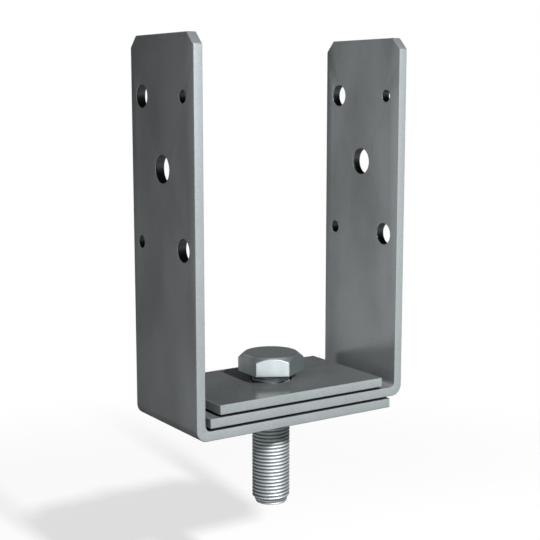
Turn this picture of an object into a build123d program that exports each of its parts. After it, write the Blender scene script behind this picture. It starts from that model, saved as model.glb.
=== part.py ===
"""Adjustable post anchor: two bent angles that slide through each other under a clamp plate and a hex bolt.

Sizes are in millimetres. The origin is on the bolt's axis, at the underside of the lower flange.
Z points up, X runs from the left leg to the right leg, and Y runs across the strip, front to back.
"""
from build123d import *
import os

# Sheet steel that both angles are bent from
strip_width = 50.0
sheet_thickness = 4.0
bend_radius = 4.6
edge_break = 0.3
corner_cut = 4.5

# The U that the two angles make when they are pushed right together
outer_span = 101.0
leg_top = 155.0
flange_end_clearance = 2.1

# How far each angle slides outwards, which is the length of its slot between centres
slide_travel = 24.0

# The bolt is backed off, so a little air shows between the flanges and the plate
leaf_gap = 0.8

# Clamp plate that spans the slots
plate_thickness = 4.0
plate_end_clearance = 6.5

# Holes in each leg: how far they lie below the leg's top, and to the front or the back of its middle
top_row_drop = 23.6
middle_row_drop = 51.5
bottom_row_drop = 81.5
screw_hole_diameter = 9.0
screw_hole_offset = 16.0
nail_hole_diameter = 5.0
nail_hole_front_offset = 16.5
nail_hole_back_offset = 18.0
post_bolt_hole_diameter = 11.0
hole_edge_break = 0.2

# Hex bolt
shank_diameter = 16.0
shank_clearance = 0.75
bolt_length = 57.0
head_standoff = 3.5
head_across_flats = 24.0
head_height = 8.0
head_crown_diameter = 22.2
head_chamfer_drop = 2.2
under_head_fillet = 0.6
point_diameter = 13.8
point_length = 1.7
point_rounding = 0.8

# Worked out from the sizes above
inner_span = outer_span - 2 * sheet_thickness
flange_length = outer_span - sheet_thickness - flange_end_clearance
upper_level = sheet_thickness + leaf_gap
plate_level = upper_level + sheet_thickness + leaf_gap
plate_top = plate_level + plate_thickness
plate_length = inner_span - 2 * plate_end_clearance
bolt_hole_diameter = shank_diameter + 2 * shank_clearance
head_base = plate_top + head_standoff
head_top = head_base + head_height
corner_radius = head_across_flats / 3**0.5
cone_run = head_height * (corner_radius - head_crown_diameter / 2) / head_chamfer_drop
bolt_tip = head_base - bolt_length
point_taper = (shank_diameter - point_diameter) / 2
shank_end = bolt_tip + point_length + point_taper

# Each hole in a leg as its diameter, its place across the strip and its height
leg_holes = (
    (screw_hole_diameter, screw_hole_offset, leg_top - top_row_drop),
    (nail_hole_diameter, -nail_hole_front_offset, leg_top - top_row_drop),
    (post_bolt_hole_diameter, 0.0, leg_top - middle_row_drop),
    (nail_hole_diameter, nail_hole_back_offset, leg_top - bottom_row_drop),
    (screw_hole_diameter, -screw_hole_offset, leg_top - bottom_row_drop),
)


def bent_angle(side, level):
    """One angle, with its leg on the left for side -1 or the right for side 1, and its flange's underside at level."""
    leg_outside = side * outer_span / 2
    leg_inside = side * inner_span / 2
    free_end = leg_outside - side * flange_length

    with BuildPart() as angle:
        # The bent section, seen from the front, with a round bend outside and a plain corner inside
        with BuildSketch(Plane.XZ) as section:
            with BuildLine():
                Polyline(
                    (free_end, level),
                    (leg_outside, level),
                    (leg_outside, leg_top),
                    (leg_inside, leg_top),
                    (leg_inside, level + sheet_thickness),
                    (free_end, level + sheet_thickness),
                    close=True,
                )
            make_face()
            outer_corner = section.vertices().sort_by_distance((leg_outside, level))[0]
            fillet(outer_corner, bend_radius)
        extrude(amount=strip_width / 2, both=True)

        # The two upper corners of the leg are cut off at 45 degrees
        top_corners = angle.edges().filter_by(Axis.X).group_by(Axis.Z)[-1]
        chamfer(top_corners, corner_cut)

        # Every cut edge of the sheet is broken, but not the lines where the bend starts and ends
        bend_lines = angle.faces().filter_by(GeomType.CYLINDER).edges().filter_by(Axis.Y)
        chamfer(angle.edges() - bend_lines, edge_break)

        # Slot that lets the flange slide outwards past the bolt
        with BuildSketch(Plane.XY.offset(level)):
            with Locations((-side * slide_travel / 2, 0)):
                SlotCenterToCenter(slide_travel, bolt_hole_diameter)
        extrude(amount=sheet_thickness, mode=Mode.SUBTRACT)

        # Holes through the leg, drilled from its inside face outwards
        with BuildSketch(Plane.YZ.offset(leg_inside)):
            for diameter, across, height in leg_holes:
                with Locations((across, height)):
                    Circle(diameter / 2)
        extrude(amount=side * sheet_thickness, mode=Mode.SUBTRACT)
        hole_rims = angle.edges().filter_by(GeomType.CIRCLE).filter_by(
            lambda rim: rim.is_closed and abs(rim.arc_center.X) > inner_span / 2 - edge_break
        )
        chamfer(hole_rims, hole_edge_break)
    return angle


# Lower angle, with its leg on the left
lower_angle = bent_angle(-1, 0.0)
lower_angle.part.label = "lower_angle"

# Upper angle, with its leg on the right, lying on the lower one
upper_angle = bent_angle(1, upper_level)
upper_angle.part.label = "upper_angle"

# Clamp plate, which bridges the slots and has one round hole for the bolt
with BuildPart() as clamp_plate:
    with BuildSketch(Plane.XY.offset(plate_level)):
        Rectangle(plate_length, strip_width)
    extrude(amount=plate_thickness)
    chamfer(clamp_plate.edges(), edge_break)
    with Locations((0, 0, plate_top)):
        Hole(bolt_hole_diameter / 2)
clamp_plate.part.label = "clamp_plate"

# Hex bolt, with its fine thread left plain at the thread's outside diameter
with BuildPart() as hex_bolt:
    # Hexagon with two of its flats facing the two legs
    with BuildSketch(Plane.XY.offset(head_base)):
        RegularPolygon(head_across_flats / 2, 6, major_radius=False, rotation=30)
    extrude(amount=head_height)

    # The cone that takes the six upper corners of the head down
    with BuildSketch(Plane.XZ):
        with BuildLine():
            Polyline(
                (0, head_base),
                (head_crown_diameter / 2 + cone_run, head_base),
                (head_crown_diameter / 2, head_top),
                (0, head_top),
                close=True,
            )
        make_face()
    revolve(axis=Axis.Z, mode=Mode.INTERSECT)

    # Shank, tapered to a shorter and slimmer point with a rounded end
    with BuildSketch(Plane.XZ) as shank:
        with BuildLine():
            Polyline(
                (0, head_base),
                (shank_diameter / 2, head_base),
                (shank_diameter / 2, shank_end),
                (point_diameter / 2, shank_end - point_taper),
                (point_diameter / 2, bolt_tip),
                (0, bolt_tip),
                close=True,
            )
        make_face()
        tip_corner = shank.vertices().sort_by_distance((point_diameter / 2, bolt_tip))[0]
        fillet(tip_corner, point_rounding)
    revolve(axis=Axis.Z)

    # Fillet in the corner between the shank and the underside of the head
    head_seat = hex_bolt.edges().filter_by(GeomType.CIRCLE).filter_by_position(Axis.Z, head_base, head_base)
    fillet(head_seat, under_head_fillet)
hex_bolt.part.label = "hex_bolt"

os.makedirs("parts", exist_ok=True)
export_step(lower_angle.part, "parts/lower_angle.step")
export_step(upper_angle.part, "parts/upper_angle.step")
export_step(clamp_plate.part, "parts/clamp_plate.step")
export_step(hex_bolt.part, "parts/hex_bolt.step")
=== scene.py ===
"""Looks of the adjustable post anchor: zinc-coated steel, a threaded bolt and a plain pale studio.

Everything is in metres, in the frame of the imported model: the origin is on the bolt's axis at the
underside of the lower flange, Z points up, X runs from the left leg to the right leg and Y from
front to back.
"""
import math

import bmesh
import bpy
import numpy as np
from bpy.props import FloatProperty, FloatVectorProperty, IntProperty, PointerProperty
from bpy.types import Operator, Panel, PropertyGroup
from mathutils import Matrix, Vector


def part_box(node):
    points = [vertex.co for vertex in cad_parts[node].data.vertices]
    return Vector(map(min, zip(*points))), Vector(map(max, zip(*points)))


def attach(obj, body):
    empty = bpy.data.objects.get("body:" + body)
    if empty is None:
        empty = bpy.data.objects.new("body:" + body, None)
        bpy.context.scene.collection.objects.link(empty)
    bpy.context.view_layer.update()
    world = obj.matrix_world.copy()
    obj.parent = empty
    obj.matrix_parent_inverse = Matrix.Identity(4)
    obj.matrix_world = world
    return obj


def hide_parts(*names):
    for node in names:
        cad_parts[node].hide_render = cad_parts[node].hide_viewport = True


bl_info = {
    "name": "Post anchor looks",
    "version": (1, 0, 0),
    "blender": (4, 5, 0),
    "location": "3D View > Sidebar > Post Anchor",
    "description": "Dresses the post anchor in zinc-coated steel and sets up its studio",
    "category": "Object",
}

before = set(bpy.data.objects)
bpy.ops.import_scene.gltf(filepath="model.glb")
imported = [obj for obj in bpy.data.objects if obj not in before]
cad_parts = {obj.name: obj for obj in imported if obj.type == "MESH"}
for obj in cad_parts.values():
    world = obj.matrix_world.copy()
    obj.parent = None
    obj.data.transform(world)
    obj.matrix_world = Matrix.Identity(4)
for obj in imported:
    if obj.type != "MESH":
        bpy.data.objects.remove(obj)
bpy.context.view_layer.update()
bolt_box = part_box("hex_bolt")
plate_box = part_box("clamp_plate")

# Noise of the coating: how the clouds are stretched, and each noise's detail, roughness and range
CLOUD_STRETCH = (1.0, 1.0, 0.45)
CLOUD_NOISE = (3.0, 0.45, 0.30, 0.70)
GRAIN_NOISE = (2.0, 0.7, 0.25, 0.75)

# Finishes: the size of clouds and of grain against the settings, and the coating's other values
ROLLED_FINISH = 1.0, 1.0, {
    "Cloud strength": 0.17, "Grain strength": 0.04, "Roughness": 0.14, "Roughness change": 0.02}
CUT_FINISH = 0.5, 0.8, {
    "Cloud strength": 0.04, "Grain strength": 0.08, "Roughness": 0.60, "Roughness change": 0.03}
BOLT_FINISH = 0.3, 0.7, {
    "Cloud strength": 0.05, "Grain strength": 0.05, "Roughness": 0.42, "Roughness change": 0.02}

# Sheet: what its masks lay over the rolled and the cut faces, each in its order. The colours are
# painted shade: darker chamfers that hide their highlight, dark walls in the holes, darkest at
# their bottom, and dark level faces between the stacked sheets
MASK_PAINTED_SHADES = {
    "Broken edge": (0.24, 0.26, 0.265), "Covered": (0.055, 0.060, 0.062),
    "Bore": (0.16, 0.18, 0.185), "Bore floor": (0.02, 0.023, 0.024)}
MASK_ROUGHNESS = {"Bore": 0.4, "Broken edge": 0.55, "Covered": 0.55}
# Share of their colour that the cut corners of the legs keep: painted shade on these
# upward-slanting faces
CORNER_PAINTED_SHADE = 0.58
ANGLE_SHINE, PLATE_SHINE, CUT_SHINE = 0.5, 0.28, 0.45
SHEET_SPECULAR = {"Specular IOR Level": 0.25, "Specular Tint": (0.5, 0.52, 0.53)}

# Bolt: its thread's roughness, and the painted shade in the grooves and on the rounded edges of the
# head
THREAD_ROUGHNESS = 0.6
PAINTED_GROOVE_SHADE = (0.085, 0.095, 0.10)
PAINTED_HEAD_EDGE_SHADE = (0.48, 0.51, 0.52)

# Grain as bump: its strength and its height
SHEET_BUMP = (0.25, 0.00004)
BOLT_BUMP = (0.2, 0.00003)

# How far inside the sheet's true outline its ends, its top and its legs' inner faces count
END_MARGIN, TOP_MARGIN, LEG_MARGIN = 0.0002, 0.0001, 0.0001

# Rounding strip in a bend: points along its arc, how far it goes into the sheet past the broken
# edge, and how far its ends stay inside the strip's edges
BEND_POINTS = 17
STRIP_DEPTH = 0.0002
STRIP_INSET = 0.00001

# Head: the power that rounds the hexagon's corners, how columns crowd towards them, the middle
# ring on top as a share of the crown, the size and rows of each rounding, and the fillet below
HEXAGON_POWER = 140
CROWDING = 1.6
MIDDLE_RING = 0.6
CROWN_ROUNDING, CORNER_ROUNDING, RIM_ROUNDING = (0.0003, 5), (0.0001, 5), (0.00025, 4)
HEAD_FILLET, FILLET_ROWS = 0.0006, 4

# Thread: rows in one turn, the power that broadens its crests, the lengths over which it fades in
# and out, and the depth of the rings on the point
ROWS_PER_TURN = 14
CREST_POWER = 1.3
FADE_IN, FADE_OUT = 0.0006, 0.0009
POINT_RING_DEPTH = 0.00042

# Painted shade in the grooves against their depth, its share on the point, and that on the neck and
# rim
GROOVE_SHADE_GAIN, GROOVE_SHADE_START, GROOVE_SHADE_MOST, GROOVE_SHADE_ON_POINT = 1.3, 0.35, 0.85, 0.5
NECK_SHADE, NECK_SHADE_START, NECK_SHADE_LENGTH = 0.85, 1.2, 0.0022
RIM_SHADE, RIM_SHADE_START = 0.35, 0.0002

# Studio panels: setting, turn from straight in front to the right, rise and half width in degrees
PANELS = (
    ("front_panel", -27, -14, 16),
    ("near_left_panel", -60, 10, 30),
    ("left_panel", -118, -12, 38),
    ("back_panel", 150, 15, 50),
    ("high_back_panel", 180, 38, 24),
    ("right_panel", 104, -5, 38),
    ("low_panel", 30, -35, 45),
    ("top_panel", -20, 74, 38),
)

# White background for mirrored rays: its direction in the world and on the floor, each with the
# range over which it eases in, as a cosine and as a distance
WHITE_WAY = Vector((0.546, 0.823, -0.154)).normalized(), 0.955, 0.985
WHITE_FLOOR = (0.553, 0.833, 0.0), 0.16, 0.30
DIM_FLOOR_COLOUR = (0.06, 0.06, 0.06)

# Floor's fading rim as shares of its radius, what the lamp aims at, and the camera's fixed values
FLOOR_FADE = (0.35, 0.95)
LAMP_AIM = Vector((0.0, 0.0, 0.03))
SENSOR_WIDTH = 36.0
LENS_SHIFT = (0.0002, 0.0047)
CLIP_START = 0.01


class AnchorSheetSettings(PropertyGroup):
    """Colours, grain and sizes of the sheet steel that the angles and the plate are cut from"""

    face_colour: FloatVectorProperty(
        name="Face colour", description="Colour of the rolled faces of the sheet",
        subtype="COLOR", size=3, min=0.0, max=1.0, default=(0.342, 0.363, 0.372))
    cut_colour: FloatVectorProperty(
        name="Cut edge colour", description="Colour of the sheared edges of the sheet",
        subtype="COLOR", size=3, min=0.0, max=1.0, default=(0.370, 0.406, 0.418))
    plate_colour: FloatVectorProperty(
        name="Plate colour", description="Colour of the clamp plate's faces",
        subtype="COLOR", size=3, min=0.0, max=1.0, default=(0.163, 0.175, 0.178))
    cloud_size: FloatProperty(
        name="Cloud size", description="Size of the soft light and dark clouds in the coating",
        unit="LENGTH", min=0.002, default=0.027)
    grain_size: FloatProperty(
        name="Grain size", description="Size of the fine grain of the coating",
        unit="LENGTH", min=0.0001, default=0.0007)
    corner_cut: FloatProperty(
        name="Corner cut", description="How far the upper corners of the legs are cut off",
        unit="LENGTH", default=0.0045)
    leg_inside: FloatProperty(
        name="Leg inside", description="Distance of the legs' inner faces from the bolt's axis",
        unit="LENGTH", default=0.0465)
    thickness: FloatProperty(
        name="Thickness", description="Thickness of the sheet",
        unit="LENGTH", default=0.004)
    edge_break: FloatProperty(
        name="Edge break", description="Width of the narrow chamfer along the cut edges",
        unit="LENGTH", default=0.0003)
    bend_inside: FloatProperty(
        name="Bend inside", description="Radius of the rounding inside the bend of each angle",
        unit="LENGTH", default=0.002)


class AnchorBoltSettings(PropertyGroup):
    """Sizes and colours of the hex bolt"""

    across_flats: FloatProperty(
        name="Across flats", description="Width of the hexagon across its flats",
        unit="LENGTH", default=0.024)
    head_height: FloatProperty(
        name="Head height", description="Height of the head",
        unit="LENGTH", default=0.008)
    crown_diameter: FloatProperty(
        name="Crown diameter", description="Diameter of the flat circle on top of the head",
        unit="LENGTH", default=0.0222)
    crown_drop: FloatProperty(
        name="Crown drop", description="How far the cone lowers the six corners of the head",
        unit="LENGTH", default=0.0022)
    thread_diameter: FloatProperty(
        name="Thread diameter", description="Outside diameter of the thread",
        unit="LENGTH", default=0.016)
    thread_pitch: FloatProperty(
        name="Thread pitch", description="Rise of the thread in one turn",
        unit="LENGTH", default=0.0015)
    thread_depth: FloatProperty(
        name="Thread depth", description="Depth of the groove between two crests",
        unit="LENGTH", default=0.0006)
    thread_start: FloatProperty(
        name="Thread start",
        description="Height of a crest on the X axis, which turns the thread into place",
        unit="LENGTH", default=0.00116)
    plain_neck: FloatProperty(
        name="Plain neck", description="Length of the plain neck between the head and the thread",
        unit="LENGTH", default=0.0021)
    point_diameter: FloatProperty(
        name="Point diameter", description="Diameter of the slimmer end",
        unit="LENGTH", default=0.0138)
    point_length: FloatProperty(
        name="Point length", description="Length of the slimmer end",
        unit="LENGTH", default=0.0017)
    point_rounding: FloatProperty(
        name="Point rounding", description="Radius round the rim of the tip",
        unit="LENGTH", default=0.0008)
    columns_per_flat: IntProperty(
        name="Columns per flat", description="Mesh columns across each flat of the head",
        min=6, max=40, default=18)
    colour: FloatVectorProperty(
        name="Bolt colour", description="Colour of the bolt's coating",
        subtype="COLOR", size=3, min=0.0, max=1.0, default=(0.62, 0.68, 0.693))
    # Lighter than the bolt's own colour: painted highlight on the threaded shank
    thread_highlight_colour: FloatVectorProperty(
        name="Thread colour", description="Colour of the thread's crests",
        subtype="COLOR", size=3, min=0.0, max=1.0, default=(0.84, 0.90, 0.915))


class AnchorStudioSettings(PropertyGroup):
    """Floor, light and camera"""

    floor_height: FloatProperty(
        name="Floor height", description="Height of the pale floor",
        unit="LENGTH", default=-0.09)
    floor_radius: FloatProperty(
        name="Floor radius", description="Radius at which the floor has faded into the background",
        unit="LENGTH", default=0.42)
    floor_colour: FloatVectorProperty(
        name="Floor colour", description="Colour of the floor",
        subtype="COLOR", size=3, min=0.0, max=1.0, default=(0.42, 0.42, 0.42))
    floor_lift: FloatProperty(
        name="Floor lift",
        description="Light added to what the floor shows, so that it meets the white background",
        min=0.0, max=1.0, default=0.66)
    key_power: FloatProperty(
        name="Key power", description="Power of the main lamp",
        unit="POWER", min=0.0, default=16.2)
    key_size: FloatProperty(
        name="Key size", description="Diameter of the main lamp",
        unit="LENGTH", min=0.01, default=0.088)
    key_distance: FloatProperty(
        name="Key distance", description="Distance of the main lamp from the object",
        unit="LENGTH", min=0.1, default=1.1)
    key_turn: FloatProperty(
        name="Key turn",
        description="Turn of the main lamp from straight in front towards the left",
        subtype="ANGLE", default=math.radians(2.6))
    key_rise: FloatProperty(
        name="Key rise", description="Height of the main lamp above the horizon",
        subtype="ANGLE", default=math.radians(34.5))
    dim_level: FloatProperty(
        name="Dim level", description="Brightness of the studio where there is no panel",
        min=0.0, max=1.0, default=0.012)
    front_panel: FloatProperty(
        name="Front panel", description="Brightness of the small low panel in front on the left",
        min=0.0, max=6.0, default=3.7)
    near_left_panel: FloatProperty(
        name="Near left panel",
        description="Brightness of the panel on the left that brightens the thread's left side",
        min=0.0, max=3.0, default=0.95)
    left_panel: FloatProperty(
        name="Left panel",
        description="Brightness of the soft panel behind on the left, which the legs mirror",
        min=0.0, max=3.0, default=0.77)
    back_panel: FloatProperty(
        name="Back panel",
        description="Brightness of the weak wide panel behind, which the level faces mirror",
        min=0.0, max=3.0, default=0.04)
    high_back_panel: FloatProperty(
        name="High back panel",
        description="Brightness of the small high panel behind, for the left of the head's cone",
        min=0.0, max=3.0, default=0.42)
    right_panel: FloatProperty(
        name="Right panel", description="Brightness of the weak panel behind on the right",
        min=0.0, max=3.0, default=0.45)
    low_panel: FloatProperty(
        name="Low panel", description="Brightness of the wide panel low in front on the right",
        min=0.0, max=3.0, default=0.80)
    top_panel: FloatProperty(
        name="Top panel",
        description="Brightness of the panel overhead, which the front of the head's cone mirrors",
        min=0.0, max=3.0, default=0.42)
    lens: FloatProperty(
        name="Lens",
        description="Focal length of the camera in millimetres, on a 36 mm wide sensor",
        min=10.0, default=77.21)
    camera_place: FloatVectorProperty(
        name="Camera place", description="Where the camera stands",
        subtype="TRANSLATION", unit="LENGTH", size=3, default=(-0.263634, -0.396591, 0.132979))
    camera_turn: FloatProperty(
        name="Camera turn",
        description="Direction that the camera looks in, from straight ahead towards the right",
        subtype="ANGLE", default=math.radians(33.564))
    camera_dip: FloatProperty(
        name="Camera dip", description="How far the camera looks down",
        subtype="ANGLE", default=math.radians(8.855))


def feed(tree, socket, value):
    """Links an input to another socket or gives it a plain value. None leaves it as it is."""
    if isinstance(value, bpy.types.NodeSocket):
        tree.links.new(value, socket)
    elif value is not None:
        socket.default_value = (*tuple(value)[:3], 1.0) if socket.type == "RGBA" else value


def add_node(tree, kind, x, y, feeds=None, **settings):
    """Adds a node at a place in the tree's view, sets its options and feeds its inputs.

    The feeds give each input by its name or number, and the settings are the node's options.
    """
    node = tree.nodes.new(kind)
    node.location = (x, y)
    for name, value in settings.items():
        setattr(node, name, value)
    for name, value in (feeds or {}).items():
        feed(tree, node.inputs[name], value)
    return node


def new_group(name, inputs, outputs, kind="ShaderNodeTree"):
    """Makes a node group with named and typed sockets.

    Returned are the group, the sockets that bring its inputs in, and those that take its results.
    """
    group = bpy.data.node_groups.new(name, kind)
    for label, socket_type, value in inputs:
        socket = group.interface.new_socket(
            name=label, in_out="INPUT", socket_type="NodeSocket" + socket_type)
        if value is not None:
            socket.default_value = value
    for label, socket_type in outputs:
        group.interface.new_socket(
            name=label, in_out="OUTPUT", socket_type="NodeSocket" + socket_type)
    start = add_node(group, "NodeGroupInput", -1200, 0)
    return group, start.outputs, add_node(group, "NodeGroupOutput", 900, 0).inputs


def shared(name, make):
    """Returns the node group of that name, made the first time that it is asked for."""
    return bpy.data.node_groups.get(name) or make()


def fresh_tree(owner):
    """Switches on the nodes of a new material or world and returns their tree, emptied."""
    owner.use_nodes = True
    owner.node_tree.nodes.clear()
    return owner.node_tree


def math_node(tree, operation, x, y, *values):
    """Adds a Math node whose inputs are sockets or numbers, and returns its result."""
    feeds = dict(enumerate(values))
    return add_node(tree, "ShaderNodeMath", x, y, feeds, operation=operation).outputs[0]


def chain(tree, operation, x, y, result, *others):
    """Joins any number of sockets by one operation, in a row of Math nodes."""
    for k, other in enumerate(others):
        result = math_node(tree, operation, x + 170 * k, y, result, other)
    return result


def smooth_step(tree, value, low, high, x, y, to_low=0.0, to_high=1.0):
    """Eases from to_low to to_high while the value goes from low to high."""
    feeds = {"Value": value, "From Min": low, "From Max": high, "To Min": to_low, "To Max": to_high}
    node = add_node(tree, "ShaderNodeMapRange", x, y, feeds, interpolation_type="SMOOTHSTEP")
    return node.outputs["Result"]


def ease_along(tree, vector, aim, low, high, x, y, to_high=1.0):
    """Eases from 0 to to_high while the vector's part along the aim goes from low to high."""
    part = add_node(
        tree, "ShaderNodeVectorMath", x, y, {0: vector, 1: aim}, operation="DOT_PRODUCT")
    return smooth_step(tree, part.outputs["Value"], low, high, x + 200, y, to_high=to_high)


def mix_colour(tree, factor, first, second, x, y):
    """Mixes two colours, each a socket or a value, by a factor socket.

    A Mix node has sockets for every type of data: its colours go into 6 and 7 and come out of 2.
    """
    feeds = {"Factor": factor, 6: first, 7: second}
    return add_node(tree, "ShaderNodeMix", x, y, feeds, data_type="RGBA").outputs[2]


def mix_value(tree, factor, first, second, x, y):
    """Mixes two numbers in the same way, which go into 2 and 3 and come out of 0."""
    feeds = {"Factor": factor, 2: first, 3: second}
    return add_node(tree, "ShaderNodeMix", x, y, feeds, data_type="FLOAT").outputs[0]


def even_noise(tree, vector, size, detail, roughness, low, high, y):
    """Noise of a given size whose values from low to high are spread out from -1 to 1."""
    scale = math_node(tree, "DIVIDE", -950, y, 1.0, size)
    noise = add_node(tree, "ShaderNodeTexNoise", -700, y, {
        "Vector": vector, "Scale": scale, "Detail": detail, "Roughness": roughness})
    return smooth_step(tree, noise.outputs["Fac"], low, high, -480, y, -1.0, 1.0)


def coating_group():
    """Zinc coating: soft clouds, stretched upwards, and fine grain, from noise on the place.

    Both change the colour's level by their strengths. The clouds also change the roughness, and
    the grain is the height for a bump.
    """
    group, start, end = new_group(
        "zinc_coating",
        [("Vector", "Vector", None), ("Cloud size", "Float", 0.03), ("Grain size", "Float", 0.0007),
         ("Colour", "Color", (0.5, 0.5, 0.5, 1.0)), ("Cloud strength", "Float", 0.15),
         ("Grain strength", "Float", 0.1), ("Roughness", "Float", 0.4),
         ("Roughness change", "Float", 0.06)],
        [("Colour", "Color"), ("Roughness", "Float"), ("Height", "Float")])
    tall = add_node(group, "ShaderNodeVectorMath", -950, 400, {
        0: start["Vector"], 1: CLOUD_STRETCH}, operation="MULTIPLY")
    cloud = even_noise(group, tall.outputs[0], start["Cloud size"], *CLOUD_NOISE, 200)
    grain = even_noise(group, start["Vector"], start["Grain size"], *GRAIN_NOISE, -200)
    cloud_part = math_node(group, "MULTIPLY", -250, 200, cloud, start["Cloud strength"])
    grain_part = math_node(group, "MULTIPLY", -250, 0, grain, start["Grain strength"])
    level = chain(group, "ADD", -50, 150, cloud_part, grain_part, 1.0)
    tint = add_node(group, "ShaderNodeVectorMath", 320, 200, {
        0: start["Colour"], "Scale": level}, operation="SCALE")
    change = math_node(group, "MULTIPLY", -250, -200, cloud, start["Roughness change"])
    rough = math_node(group, "SUBTRACT", -50, -200, start["Roughness"], change)
    feed(group, end["Colour"], tint.outputs[0])
    feed(group, end["Roughness"], rough)
    feed(group, end["Height"], grain)
    return group


def cut_face_group():
    """Masks of the sheet's sheared edges and bores, from the place and the facing of the surface.

    Cut is 1 on the front and back edges, past the left and right ends, above the top, and beyond
    the cut corners, where the distance from the middle plus the height passes the corner's value.
    Cut corner is 1 on those corners alone. Broken edge is 1 on the narrow chamfers along the front
    and back edges, which the material paints darker, a painted shade over their highlight. Bore is
    1 on the walls of the holes in a leg, and Bore floor is 0 where such a wall faces down and eases
    to 1 where it faces up; the material paints both as shade in the holes, darkest at their bottom.
    Covered is 1 on level faces inside the stack, where the material paints shade between the
    sheets:
    above the lower flange's underside, below the stack's top and, except for the lowest gap, no
    further from the bolt than the plate reaches.
    """
    # Distances past the strip's half width, and past the plate's reach, over which a mask eases,
    # and the width of the bands along the strip's sides that have the broken edges in them
    side_ease = (-0.0002, -0.00005)
    reach_ease = (-0.0008, 0.0004)
    broken_width = 0.0005
    # How far a surface faces a way, from -1 to 1, over which a mask eases in or out
    chamfer_in, chamfer_out = (0.08, 0.35), (0.80, 0.97)
    bore_out = (0.25, 0.60)
    floor_in = (-0.75, 0.65)
    level_facing = 0.9
    # Heights above which bores lie and the stack's inside starts, and the top of its lowest gap
    bores_from, inside_from, lowest_gap_top = 0.03, 0.001, 0.006

    group, start, end = new_group(
        "cut_faces",
        [("Vector", "Vector", None), ("Normal", "Vector", None), ("Half width", "Float", 0.025),
         ("Left end", "Float", -1.0), ("Right end", "Float", 1.0), ("Top", "Float", 1.0),
         ("Corner", "Float", 2.0), ("Leg inside", "Float", 1.0), ("Stack reach", "Float", 0.04),
         ("Stack top", "Float", 0.01)],
        [(name, "Float") for name in (
            "Cut", "Cut corner", "Broken edge", "Bore", "Bore floor", "Covered")])
    place = add_node(group, "ShaderNodeSeparateXYZ", -950, 200, {0: start["Vector"]}).outputs
    normal = add_node(group, "ShaderNodeSeparateXYZ", -950, -300, {0: start["Normal"]}).outputs

    across = math_node(group, "ABSOLUTE", -750, 300, place["Y"])
    past_side = math_node(group, "SUBTRACT", -550, 300, across, start["Half width"])
    side = smooth_step(group, past_side, *side_ease, -350, 300)
    past_left = math_node(group, "LESS_THAN", -550, 150, place["X"], start["Left end"])
    past_right = math_node(group, "GREATER_THAN", -550, 0, place["X"], start["Right end"])
    above = math_node(group, "GREATER_THAN", -550, -150, place["Z"], start["Top"])
    diagonal = math_node(group, "ADD", -550, -300, across, place["Z"])
    beyond = math_node(group, "GREATER_THAN", -350, -300, diagonal, start["Corner"])
    ends = chain(group, "MAXIMUM", -350, 100, past_left, past_right, above, beyond)
    cut = math_node(group, "MAXIMUM", 300, 100, side, ends)
    feed(group, end["Cut"], cut)
    feed(group, end["Cut corner"], beyond)

    facing = math_node(group, "ABSOLUTE", -750, -500, normal["Y"])
    rising = smooth_step(group, facing, *chamfer_in, -550, -500)
    falling = smooth_step(group, facing, *chamfer_out, -550, -700, 1.0, 0.0)
    near_side = math_node(group, "GREATER_THAN", -350, -750, past_side, -broken_width)
    broken = chain(group, "MULTIPLY", -350, -600, rising, falling, near_side)
    feed(group, end["Broken edge"], broken)

    outward = math_node(group, "ABSOLUTE", -750, -900, normal["X"])
    inward = smooth_step(group, outward, *bore_out, -550, -900, 1.0, 0.0)
    reach = math_node(group, "ABSOLUTE", -750, -1100, place["X"])
    in_leg = math_node(group, "GREATER_THAN", -550, -1100, reach, start["Leg inside"])
    high = math_node(group, "GREATER_THAN", -550, -1300, place["Z"], bores_from)
    uncut = math_node(group, "SUBTRACT", -350, -900, 1.0, cut)
    bore = chain(group, "MULTIPLY", -350, -1050, inward, in_leg, high, uncut)
    upwards = smooth_step(group, normal["Z"], *floor_in, -350, -1300)
    feed(group, end["Bore"], bore)
    feed(group, end["Bore floor"], math_node(group, "MULTIPLY", 300, -1200, bore, upwards))

    level = math_node(group, "ABSOLUTE", -750, -1500, normal["Z"])
    level = math_node(group, "GREATER_THAN", -550, -1500, level, level_facing)
    over = math_node(group, "GREATER_THAN", -550, -1700, place["Z"], inside_from)
    under = math_node(group, "LESS_THAN", -550, -1900, place["Z"], start["Stack top"])
    past_reach = math_node(group, "SUBTRACT", -750, -2100, reach, start["Stack reach"])
    near = smooth_step(group, past_reach, *reach_ease, -550, -2100, 1.0, 0.0)
    lowest = math_node(group, "LESS_THAN", -550, -2300, place["Z"], lowest_gap_top)
    near = math_node(group, "MAXIMUM", -350, -2200, near, lowest)
    gap_shade = chain(group, "MULTIPLY", -350, -1600, level, over, under, near)
    feed(group, end["Covered"], gap_shade)
    return group


def coat(tree, place, colour, sheet, finish, y):
    """Places the zinc coating in a material, with one of the finishes, and returns its outputs."""
    cloud_share, grain_share, values = finish
    return add_node(tree, "ShaderNodeGroup", -1000, y, {
        "Vector": place["Object"], "Colour": colour, "Cloud size": sheet.cloud_size * cloud_share,
        "Grain size": sheet.grain_size * grain_share, **values,
    }, node_tree=shared("zinc_coating", coating_group)).outputs


def metal_surface(tree, colour, rough, height, bump, feeds):
    """Ends a material with the metal's shader, whose grain is a bump of a strength and a height."""
    strength, distance = bump
    grain = add_node(tree, "ShaderNodeBump", -400, -300, {
        "Strength": strength, "Distance": distance, "Height": height})
    shader = add_node(tree, "ShaderNodeBsdfPrincipled", 0, 0, {
        "Base Color": colour, "Roughness": rough, "Normal": grain.outputs["Normal"], **feeds})
    add_node(tree, "ShaderNodeOutputMaterial", 300, 0, {"Surface": shader.outputs["BSDF"]})


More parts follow.
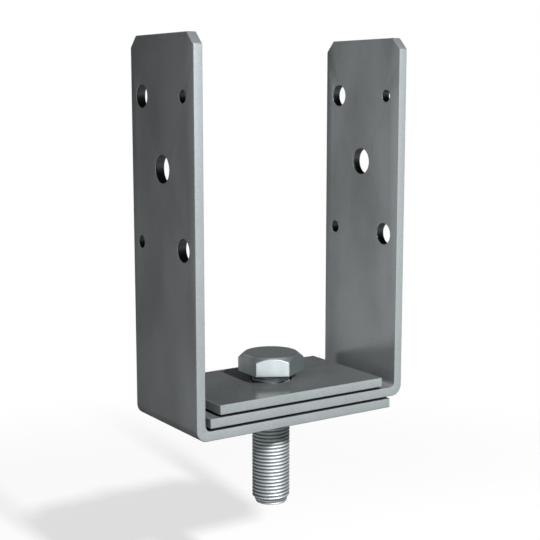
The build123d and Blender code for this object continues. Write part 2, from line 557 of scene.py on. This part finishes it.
def sheet_material(name, face_colour, shine, sheet, limits):
    """Sheet steel whose rolled faces are darker and smoother than its cut edges, with painted shade
    on its chamfers, in its bores, between its stacked sheets and on its cut corners.

    The limits are the values of the masks for this piece of sheet.
    """
    material = bpy.data.materials.new(name)
    tree = fresh_tree(material)
    place = add_node(tree, "ShaderNodeTexCoord", -1400, 0).outputs
    faces = coat(tree, place, face_colour, sheet, ROLLED_FINISH, 350)
    edges = coat(tree, place, sheet.cut_colour, sheet, CUT_FINISH, 0)
    mask = add_node(tree, "ShaderNodeGroup", -1000, -350, {
        "Vector": place["Object"], "Normal": place["Normal"], **limits,
    }, node_tree=shared("cut_faces", cut_face_group)).outputs

    colour = mix_colour(tree, mask["Cut"], faces["Colour"], edges["Colour"], -800, 300)
    # Painted shade: the cut corners keep only part of their colour
    cut_corner_shade = mix_value(tree, mask["Cut corner"], 1.0, CORNER_PAINTED_SHADE, -800, 550)
    cut_corner_shaded = add_node(
        tree, "ShaderNodeVectorMath", -640, 450, {0: colour, "Scale": cut_corner_shade}, operation="SCALE")
    colour = cut_corner_shaded.outputs[0]
    # Painted shade: darker chamfers, dark hole walls and dark faces between the stacked sheets
    for k, (layer, layer_shade) in enumerate(MASK_PAINTED_SHADES.items()):
        colour = mix_colour(tree, mask[layer], colour, layer_shade, 150 * k - 480, 300)
    rough = mix_value(tree, mask["Cut"], faces["Roughness"], edges["Roughness"], -650, 0)
    for k, (layer, layer_rough) in enumerate(MASK_ROUGHNESS.items()):
        rough = mix_value(tree, mask[layer], rough, layer_rough, 150 * k - 480, 0)
    height = mix_value(tree, mask["Cut"], faces["Height"], edges["Height"], -650, -300)
    metallic = mix_value(tree, mask["Cut"], shine, CUT_SHINE, -250, -150)
    metal_surface(
        tree, colour, rough, height, SHEET_BUMP, {"Metallic": metallic, **SHEET_SPECULAR})
    return material


def bolt_material(bolt, sheet):
    """Bright zinc-plated bolt, with painted shade on the rounded edges of its head and in the
    thread's grooves.
    """
    material = bpy.data.materials.new("bolt_zinc")
    tree = fresh_tree(material)
    place = add_node(tree, "ShaderNodeTexCoord", -1400, 0).outputs
    surface = coat(tree, place, bolt.colour, sheet, BOLT_FINISH, 200)
    groove, rub, threaded = (
        add_node(tree, "ShaderNodeAttribute", -1000, y, attribute_name=name).outputs["Fac"]
        for name, y in (("groove", -150), ("rub", -350), ("threaded", -550)))
    # Painted highlight: the threaded shank takes a lighter colour than the rest of the bolt
    colour = mix_colour(tree, threaded, surface["Colour"], bolt.thread_highlight_colour, -800, 350)
    # Painted shade in the grooves, on the neck and round the rim, then on the head's rounded edges
    colour = mix_colour(tree, groove, colour, PAINTED_GROOVE_SHADE, -620, 200)
    colour = mix_colour(tree, rub, colour, PAINTED_HEAD_EDGE_SHADE, -400, 200)
    rough = mix_value(tree, threaded, surface["Roughness"], THREAD_ROUGHNESS, -650, -50)
    height = mix_value(tree, threaded, surface["Height"], 0.0, -650, -300)
    metal_surface(tree, colour, rough, height, BOLT_BUMP, {"Metallic": 1.0})
    return material


def smooth_bends_group():
    """Geometry group that joins loose triangles and shades all but steep edges smoothly."""
    group, start, end = new_group(
        "smooth_bends", [("Geometry", "Geometry", None), ("Angle", "Float", math.radians(50))],
        [("Geometry", "Geometry")], "GeometryNodeTree")
    merge = add_node(group, "GeometryNodeMergeByDistance", -600, 0, {
        "Geometry": start["Geometry"], "Distance": 1e-6})
    smooth = add_node(group, "GeometryNodeSetShadeSmooth", -350, 0, {
        "Geometry": merge.outputs["Geometry"], "Shade Smooth": True}, domain="FACE")
    edge_angle = add_node(group, "GeometryNodeInputMeshEdgeAngle", -600, -300)
    steep = add_node(group, "FunctionNodeCompare", -350, -300, {
        0: edge_angle.outputs["Unsigned Angle"], 1: start["Angle"],
    }, data_type="FLOAT", operation="GREATER_THAN")
    sharp = add_node(group, "GeometryNodeSetShadeSmooth", 0, 0, {
        "Geometry": smooth.outputs["Geometry"], "Selection": steep.outputs["Result"],
        "Shade Smooth": False}, domain="EDGE")
    feed(group, end["Geometry"], sharp.outputs["Geometry"])
    return group


def dress(piece, material):
    """Gives a piece its material and the modifiers that shade its bends smoothly."""
    piece.data.materials.clear()
    piece.data.materials.append(material)
    bends = piece.modifiers.new("smooth_bends", "NODES")
    bends.node_group = shared("smooth_bends", smooth_bends_group)
    piece.modifiers.new("weighted_normals", "WEIGHTED_NORMAL").keep_sharp = True


def make_piece(scene, name, places, faces, marks=None, merge=0.0, closed=True):
    """Makes an object from points, faces and marks, which are named values for every point.

    Points nearer than the merging distance become one. A closed surface gets its faces turned
    outwards, and stops the script if it has an open edge.
    """
    mesh = bpy.data.meshes.new(name)
    mesh.from_pydata(places, [], faces)
    for mark, values in (marks or {}).items():
        attribute = mesh.attributes.new(mark, "FLOAT", "POINT")
        attribute.data.foreach_set("value", values.astype(np.float32))
    work = bmesh.new()
    work.from_mesh(mesh)
    if merge:
        bmesh.ops.remove_doubles(work, verts=work.verts, dist=merge)
        bmesh.ops.dissolve_degenerate(work, edges=work.edges, dist=merge / 2)
    open_edges = 0
    if closed:
        bmesh.ops.recalc_face_normals(work, faces=work.faces)
        open_edges = sum(1 for edge in work.edges if not edge.is_manifold)
    work.to_mesh(mesh)
    work.free()
    if open_edges:
        raise RuntimeError(f"{name} has {open_edges} open edges")
    piece = bpy.data.objects.new(name, mesh)
    scene.collection.objects.link(piece)
    return piece


def grid_faces(index, right=None):
    """Faces of a grid from its points' numbers and, for each, the number of the point beside it."""
    if right is None:
        right = np.roll(index, -1, axis=1)
    return np.stack([index[:-1], index[1:], right[1:], right[:-1]], 2).reshape(-1, 4)


def bend_strip(sheet, side, inside_level, half_width):
    """Rounding inside a bend, as a closed strip whose section is a corner less a quarter disk.

    With the arc's centre at (x, z) = (side * (leg inside - r), inside level + r), its points are
    the centre plus (side * r cos t, -r sin t) for t from 0 to a right angle. Three more points
    close the section a little inside the sheet.
    """
    r, sunk = sheet.bend_inside, sheet.edge_break + STRIP_DEPTH
    end = half_width - STRIP_INSET
    t = np.linspace(0, math.pi / 2, BEND_POINTS)
    x = side * (sheet.leg_inside - r + r * np.cos(t))
    z = inside_level + r - r * np.sin(t)
    x = np.append(x, side * (sheet.leg_inside + np.array([-r, sunk, sunk])))
    z = np.append(z, inside_level + np.array([-sunk, -sunk, r]))
    sections = [np.stack([x, np.full_like(x, across), z], 1) for across in (-end, end)]
    columns = len(x)
    sides = grid_faces(np.arange(2 * columns).reshape(2, columns)).tolist()
    corner = columns - 2
    fan = [(corner, k, (k + 1) % columns) for k in range(columns)
           if corner not in (k, (k + 1) % columns)]
    caps = fan + [tuple(columns + k for k in face) for face in fan]
    return np.concatenate(sections), sides + caps


class ANCHOR_OT_angles(Operator):
    """Dress the lower and the upper angle, and round the insides of their bends"""

    bl_idname = "anchor.angles"
    bl_label = "Angles"

    def execute(self, context):
        sheet = context.scene.anchor_sheet
        for name, side in (("lower_angle", -1), ("upper_angle", 1)):
            low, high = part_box(name)
            limits = {
                "Half width": high.y, "Top": high.z - TOP_MARGIN,
                "Corner": high.z + high.y - sheet.corner_cut - END_MARGIN,
                "Leg inside": sheet.leg_inside + LEG_MARGIN}
            if side < 0:
                limits["Right end"] = high.x - END_MARGIN
            else:
                limits["Left end"] = low.x + END_MARGIN
            material = sheet_material(
                name + "_zinc", sheet.face_colour, ANGLE_SHINE, sheet, limits)
            dress(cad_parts[name], material)

            places, faces = bend_strip(sheet, side, low.z + sheet.thickness, high.y)
            strip = make_piece(context.scene, name + "_bend", places, faces)
            dress(strip, material)
            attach(strip, "right_angle" if side > 0 else "left_angle")
        return {"FINISHED"}


class ANCHOR_OT_plate(Operator):
    """Dress the clamp plate"""

    bl_idname = "anchor.plate"
    bl_label = "Clamp plate"

    def execute(self, context):
        sheet = context.scene.anchor_sheet
        low, high = plate_box
        limits = {
            "Half width": high.y, "Left end": low.x + END_MARGIN, "Right end": high.x - END_MARGIN}
        material = sheet_material("plate_zinc", sheet.plate_colour, PLATE_SHINE, sheet, limits)
        dress(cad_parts["clamp_plate"], material)
        return {"FINISHED"}


def bolt_grid(bolt, top, tip):
    """Surface of the whole bolt as a closed grid of columns round the axis and rows down it.

    The hexagon's reach at angle a is h / (sum of cos(a - flat)^n)^(1/n), with h half the width
    across flats and n its power, which leaves the flats flat and rounds the corners a little. The
    head's outline runs out along the crown, down a cone, down the flat and in under the head, and
    each corner is a short quadratic curve.
    The shank's rows follow the helix: row k lies a pitch lower after one turn, at a depth of
    s = s_k - pitch * a / 2 pi, and its radius is the outside radius less d * ((1 - cos 2 pi t) /
    2)^p, with d the thread's depth, t how far the row lies into its pitch, and p a little over 1,
    so that the crests are round and broad.
    The last rows run down the cone of the point, along it, round its rim with z = -r sin u, and
    in to the axis.
    """
    half_flat = bolt.across_flats / 2
    crown = bolt.crown_diameter / 2
    base = top - bolt.head_height
    slope = bolt.crown_drop / (bolt.across_flats / math.sqrt(3) - crown)
    thread = bolt.thread_diameter / 2
    pitch = bolt.thread_pitch

    # Columns crowd towards the corners of the hexagon
    step = np.linspace(-1, 1, bolt.columns_per_flat, endpoint=False)
    eased = np.sign(step) * (1 - (1 - np.abs(step)) ** CROWDING) * math.pi / 6
    angles = (np.arange(6)[:, None] * math.pi / 3 + eased[None, :]).ravel()
    columns = len(angles)
    facing = np.cos(angles[:, None] - np.arange(6)[None, :] * math.pi / 3)
    powers = (np.clip(facing, 0, None) ** HEXAGON_POWER).sum(1)
    reach = half_flat / powers ** (1 / HEXAGON_POWER)

    ones = np.ones(columns)
    rows = []
    marks = {"groove": [], "rub": [], "threaded": []}

    def ring(radius, height):
        """Radius and height of one row in every column."""
        return np.stack([radius * ones, height * ones], 1)

    def add_row(place, **values):
        """Adds a row and its marks, which are 0 unless they are given."""
        rows.append(place)
        for name in marks:
            marks[name].append(values.get(name, 0.0) * ones)

    # Head, as corners with the size of their rounding, its rows and how far painted shade darkens
    # it
    corners = (
        (ring(0.0, top), 0.0, 1, 0),
        (ring(crown * MIDDLE_RING, top), 0.0, 1, 0),
        (ring(crown, top), *CROWN_ROUNDING, 1),
        (ring(reach, top - (reach - crown) * slope), *CORNER_ROUNDING, 1),
        (ring(reach, base), *RIM_ROUNDING, 1),
        (ring(thread, base), HEAD_FILLET, FILLET_ROWS, 0),
        (ring(thread, base - HEAD_FILLET), 0.0, 1, 0),
    )
    for k, (corner, size, count, edge_shaded) in enumerate(corners):
        if count == 1:
            add_row(corner)
            continue
        before = corners[k - 1][0] - corner
        after = corners[k + 1][0] - corner
        before /= np.linalg.norm(before, axis=1, keepdims=True)
        after /= np.linalg.norm(after, axis=1, keepdims=True)
        start = corner + before * size
        finish = corner + after * size
        for t in np.linspace(0, 1, count):
            curve = (1 - t) ** 2 * start + 2 * t * (1 - t) * corner + t ** 2 * finish
            add_row(curve, rub=edge_shaded * 4 * t * (1 - t))
    head_rows = len(rows)

    # Shank, whose rows are given by their depth s below the fillet. The rows start a turn above it
    # and end past the tip, so that each column has the whole shank, and s_now holds them to it
    rounding = bolt.point_rounding
    point = bolt.point_diameter / 2
    taper = thread - point
    s_taper = (base - HEAD_FILLET) - (tip + bolt.point_length + taper)
    s_rim = s_taper + taper + bolt.point_length - rounding
    s_end = s_rim + rounding * math.pi / 2
    share = np.arange(ROWS_PER_TURN) / ROWS_PER_TURN
    turns = int(math.ceil(s_end / pitch)) + 3
    nominal = ((np.arange(turns)[:, None] + share[None, :]).ravel() - 1.0) * pitch
    raised = (base - HEAD_FILLET - bolt.thread_start) % pitch
    s = nominal[:, None] + raised - pitch * (angles[None, :] / (2 * math.pi))
    s_now = np.clip(s, 0, s_end)
    phase = ((nominal / pitch) % 1.0)[:, None] * np.ones_like(s)
    depth = (0.5 - 0.5 * np.cos(2 * math.pi * phase)) ** CREST_POWER
    fade_in = np.clip((s_now - bolt.plain_neck + HEAD_FILLET) / FADE_IN, 0, 1)
    fade_out = np.clip((s_end - s_now) / FADE_OUT, 0, 1)
    u = np.clip((s_now - s_rim) / rounding, 0, math.pi / 2)
    outline = np.where(s_now < s_taper, thread, np.maximum(thread - (s_now - s_taper), point))
    outline = np.where(s_now > s_rim, point - rounding + rounding * np.cos(u), outline)
    grooved = thread - bolt.thread_depth * depth * fade_in
    shallow = outline - POINT_RING_DEPTH * depth * fade_out
    radius = np.where(s_now < s_taper, grooved, np.minimum(grooved, shallow))
    height = base - HEAD_FILLET - np.where(s_now > s_rim, s_rim, s_now) - rounding * np.sin(u)

    # Painted shade: in the grooves, on the neck under the head and round the rim of the tip
    groove_shade = np.clip(depth * fade_in * GROOVE_SHADE_GAIN - GROOVE_SHADE_START, 0, GROOVE_SHADE_MOST)
    groove_shade = groove_shade * np.where(s_now < s_taper, 1.0, GROOVE_SHADE_ON_POINT)
    neck = NECK_SHADE * np.clip(NECK_SHADE_START - s_now / NECK_SHADE_LENGTH, 0, 1)
    rim = RIM_SHADE * (s_now > s_rim + RIM_SHADE_START)
    groove = np.maximum(np.maximum(groove_shade, neck), rim)
    for k in range(len(nominal)):
        add_row(np.stack([radius[k], height[k]], 1), groove=groove[k], threaded=fade_in[k])
    for r in ((point - rounding) / 2, 0.0):
        add_row(ring(r, tip), threaded=1.0)

    grid = np.array(rows)
    r, z = grid[:, :, 0], grid[:, :, 1]
    places = np.stack([r * np.cos(angles), r * np.sin(angles), z], 2).reshape(-1, 3)

    # The last column meets the first one a turn further up in the thread
    row = np.arange(len(rows))
    index = np.arange(len(rows) * columns).reshape(len(rows), columns)
    shank = (row >= head_rows) & (row < head_rows + len(nominal))
    wrapped = np.where(shank, np.maximum(row - ROWS_PER_TURN, head_rows), row)
    faces = grid_faces(index, np.concatenate([index[:, 1:], index[wrapped, 0][:, None]], 1))
    return places, faces, {name: np.array(values).ravel() for name, values in marks.items()}


class ANCHOR_OT_bolt(Operator):
    """Make the hex bolt with its thread"""

    bl_idname = "anchor.bolt"
    bl_label = "Hex bolt"

    def execute(self, context):
        bolt = context.scene.anchor_bolt
        low, high = bolt_box
        places, faces, marks = bolt_grid(bolt, high.z, low.z)
        piece = make_piece(context.scene, "threaded_bolt", places, faces, marks, merge=2e-7)
        piece.data.shade_smooth()
        piece.data.materials.append(bolt_material(bolt, context.scene.anchor_sheet))
        piece.modifiers.new("weighted_normals", "WEIGHTED_NORMAL")
        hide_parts("hex_bolt")
        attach(piece, "clamp")
        return {"FINISHED"}


def floor_grid(radius, height, rings=25, sides=64, spread=1.5):
    """Round floor as a grid of angle and distance.

    Each ring is a circle, and ring k of n has the radius (k / n)^spread times the floor's.
    """
    reach = np.linspace(0, 1, rings)[:, None] ** spread * radius
    angles = np.linspace(0, 2 * math.pi, sides, endpoint=False)
    places = [reach * np.cos(angles), reach * np.sin(angles), np.full((rings, sides), height)]
    index = np.arange(rings * sides).reshape(rings, sides)
    return np.stack(places, 2).reshape(-1, 3), grid_faces(index)


def white_rays(tree, backdrop, x, y):
    """Masks of the rays that see the white background: the camera's, and mirrored ones.

    A mirrored ray is glossy or goes through glass, and sees white where the backdrop's mask is 1.
    Returned are all glossy rays, the mirrored ones that see white, and all that see white.
    """
    path = add_node(tree, "ShaderNodeLightPath", x, y).outputs
    glossy = path["Is Glossy Ray"]
    mirrored = math_node(tree, "MAXIMUM", x + 200, y, glossy, path["Is Transmission Ray"])
    mirrored = math_node(tree, "MULTIPLY", x + 400, y, mirrored, backdrop)
    return glossy, mirrored, math_node(
        tree, "MAXIMUM", x + 600, y, path["Is Camera Ray"], mirrored)


def floor_material(studio):
    """Pale floor that keeps shadows, fades at its rim and isn't there from below.

    It shows white to the eye and, behind the object, to metal.
    """
    material = bpy.data.materials.new("pale_floor")
    tree = fresh_tree(material)
    place = add_node(tree, "ShaderNodeTexCoord", -1500, 0).outputs["Object"]
    flat = add_node(
        tree, "ShaderNodeVectorMath", -700, 0, {0: place, 1: (1.0, 1.0, 0.0)}, operation="MULTIPLY")
    far = add_node(
        tree, "ShaderNodeVectorMath", -500, 0, {0: flat.outputs[0]}, operation="LENGTH")
    fade_start, fade_end = (studio.floor_radius * share for share in FLOOR_FADE)
    fade = smooth_step(tree, far.outputs["Value"], fade_start, fade_end, -300, 0)
    backdrop = ease_along(tree, place, *WHITE_FLOOR, -1300, -750)
    glossy, mirrored, seen = white_rays(tree, backdrop, -1100, -500)
    unseen = math_node(tree, "SUBTRACT", -700, -950, glossy, mirrored)
    shade = mix_colour(tree, unseen, studio.floor_colour, DIM_FLOOR_COLOUR, -500, -850)
    paper = add_node(tree, "ShaderNodeBsdfDiffuse", -300, -250, {"Color": shade})
    lift = math_node(tree, "MULTIPLY", -300, -500, seen, studio.floor_lift)
    glow = add_node(tree, "ShaderNodeEmission", -100, -450, {"Strength": lift})
    both = add_node(tree, "ShaderNodeAddShader", 100, -300, {
        0: paper.outputs[0], 1: glow.outputs[0]})
    below = add_node(tree, "ShaderNodeNewGeometry", -300, 250).outputs["Backfacing"]
    fade = math_node(tree, "MAXIMUM", -100, 150, fade, below)
    clear = add_node(tree, "ShaderNodeBsdfTransparent", 100, 0)
    mix = add_node(tree, "ShaderNodeMixShader", 300, 0, {
        0: fade, 1: both.outputs[0], 2: clear.outputs[0]})
    add_node(tree, "ShaderNodeOutputMaterial", 500, 0, {"Surface": mix.outputs[0]})
    return material


def towards(turn, rise):
    """Direction turned to the right from straight in front, and raised above the horizon."""
    return Vector((
        math.sin(turn) * math.cos(rise), -math.cos(turn) * math.cos(rise), math.sin(rise)))


def studio_world(scene, studio):
    """World that is white to the camera and lights the object as a studio does.

    Each soft panel is a round glow that eases from its full level in one direction to nothing at
    its edge, and the studio is dim elsewhere. The white background behind the object also shows
    in glossy and see-through surfaces.
    """
    world = bpy.data.worlds.new("studio")
    tree = fresh_tree(world)
    way = add_node(tree, "ShaderNodeTexCoord", -1100, 0).outputs["Generated"]
    level = add_node(tree, "ShaderNodeValue", -650, 500).outputs[0]
    level.default_value = studio.dim_level
    for k, (name, turn, rise, half_width) in enumerate(PANELS):
        y = 300 - 200 * k
        aim = towards(math.radians(turn), math.radians(rise))
        glow = ease_along(
            tree, way, aim, math.cos(math.radians(half_width)), 1.0, -900, y, getattr(studio, name))
        level = math_node(tree, "ADD", -400, y, level, glow)
    backdrop = ease_along(tree, way, *WHITE_WAY, -900, 500)
    seen = white_rays(tree, backdrop, -600, 700)[2]
    strength = mix_value(tree, seen, level, 1.0, 0, 0)
    light = add_node(tree, "ShaderNodeBackground", 250, 0, {
        "Color": (1.0, 1.0, 1.0), "Strength": strength})
    add_node(tree, "ShaderNodeOutputWorld", 450, 0, {"Surface": light.outputs[0]})
    scene.world = world


def place_lamp(scene, studio):
    """Adds the round main lamp, which shines at the middle of the object."""
    lamp = bpy.data.lights.new("key_lamp", "AREA")
    lamp.shape = "DISK"
    lamp.size = studio.key_size
    lamp.energy = studio.key_power
    holder = bpy.data.objects.new("key_lamp", lamp)
    place = LAMP_AIM + towards(-studio.key_turn, studio.key_rise) * studio.key_distance
    holder.location = place
    holder.rotation_euler = (place - LAMP_AIM).to_track_quat("Z", "Y").to_euler()
    holder.visible_camera = False
    scene.collection.objects.link(holder)


def place_camera(scene, studio):
    """Adds the camera at the photograph's viewing angle."""
    lens = bpy.data.cameras.new("camera")
    lens.sensor_fit = "HORIZONTAL"
    lens.sensor_width = SENSOR_WIDTH
    lens.lens = studio.lens
    lens.shift_x, lens.shift_y = LENS_SHIFT
    lens.clip_start = CLIP_START
    camera = bpy.data.objects.new("camera", lens)
    turn, dip = studio.camera_turn, studio.camera_dip
    ahead = Vector((
        math.sin(turn) * math.cos(dip), math.cos(turn) * math.cos(dip), -math.sin(dip)))
    side = ahead.cross(Vector((0, 0, 1))).normalized()
    facing = Matrix((side, side.cross(ahead), -ahead)).transposed().to_4x4()
    camera.matrix_world = Matrix.Translation(studio.camera_place) @ facing
    scene.collection.objects.link(camera)
    scene.camera = camera


class ANCHOR_OT_stage(Operator):
    """Set up the floor, the light and the camera"""

    bl_idname = "anchor.stage"
    bl_label = "Stage"

    def execute(self, context):
        scene = context.scene
        studio = scene.anchor_studio
        scene.view_settings.view_transform = "Standard"
        studio_world(scene, studio)
        places, faces = floor_grid(studio.floor_radius, studio.floor_height)
        floor = make_piece(scene, "floor", places, faces, merge=1e-6, closed=False)
        floor.data.materials.append(floor_material(studio))
        place_lamp(scene, studio)
        place_camera(scene, studio)
        return {"FINISHED"}


class ANCHOR_PT_panel(Panel):
    """Sizes, colours and steps of the post anchor"""

    bl_idname = "ANCHOR_PT_panel"
    bl_label = "Post Anchor"
    bl_space_type = "VIEW_3D"
    bl_region_type = "UI"
    bl_category = "Post Anchor"

    def draw(self, context):
        scene = context.scene
        for title, settings, steps in (
            ("Sheet steel", scene.anchor_sheet, (ANCHOR_OT_angles, ANCHOR_OT_plate)),
            ("Hex bolt", scene.anchor_bolt, (ANCHOR_OT_bolt,)),
            ("Studio", scene.anchor_studio, (ANCHOR_OT_stage,)),
        ):
            box = self.layout.box()
            box.label(text=title)
            for name in settings.__annotations__:
                box.prop(settings, name)
            for step in steps:
                box.operator(step.bl_idname)


classes = (
    AnchorSheetSettings,
    AnchorBoltSettings,
    AnchorStudioSettings,
    ANCHOR_OT_angles,
    ANCHOR_OT_plate,
    ANCHOR_OT_bolt,
    ANCHOR_OT_stage,
    ANCHOR_PT_panel,
)


def register():
    """Registers the classes and hangs the settings on the scene."""
    for cls in classes:
        bpy.utils.register_class(cls)
    bpy.types.Scene.anchor_sheet = PointerProperty(type=AnchorSheetSettings)
    bpy.types.Scene.anchor_bolt = PointerProperty(type=AnchorBoltSettings)
    bpy.types.Scene.anchor_studio = PointerProperty(type=AnchorStudioSettings)


def unregister():
    """Takes the settings off the scene and unregisters the classes."""
    del bpy.types.Scene.anchor_studio
    del bpy.types.Scene.anchor_bolt
    del bpy.types.Scene.anchor_sheet
    for cls in reversed(classes):
        bpy.utils.unregister_class(cls)


def main():
    """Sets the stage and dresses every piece."""
    register()
    bpy.ops.anchor.stage()
    bpy.ops.anchor.angles()
    bpy.ops.anchor.plate()
    bpy.ops.anchor.bolt()
    bpy.context.view_layer.update()


if __name__ == "__main__":
    main()
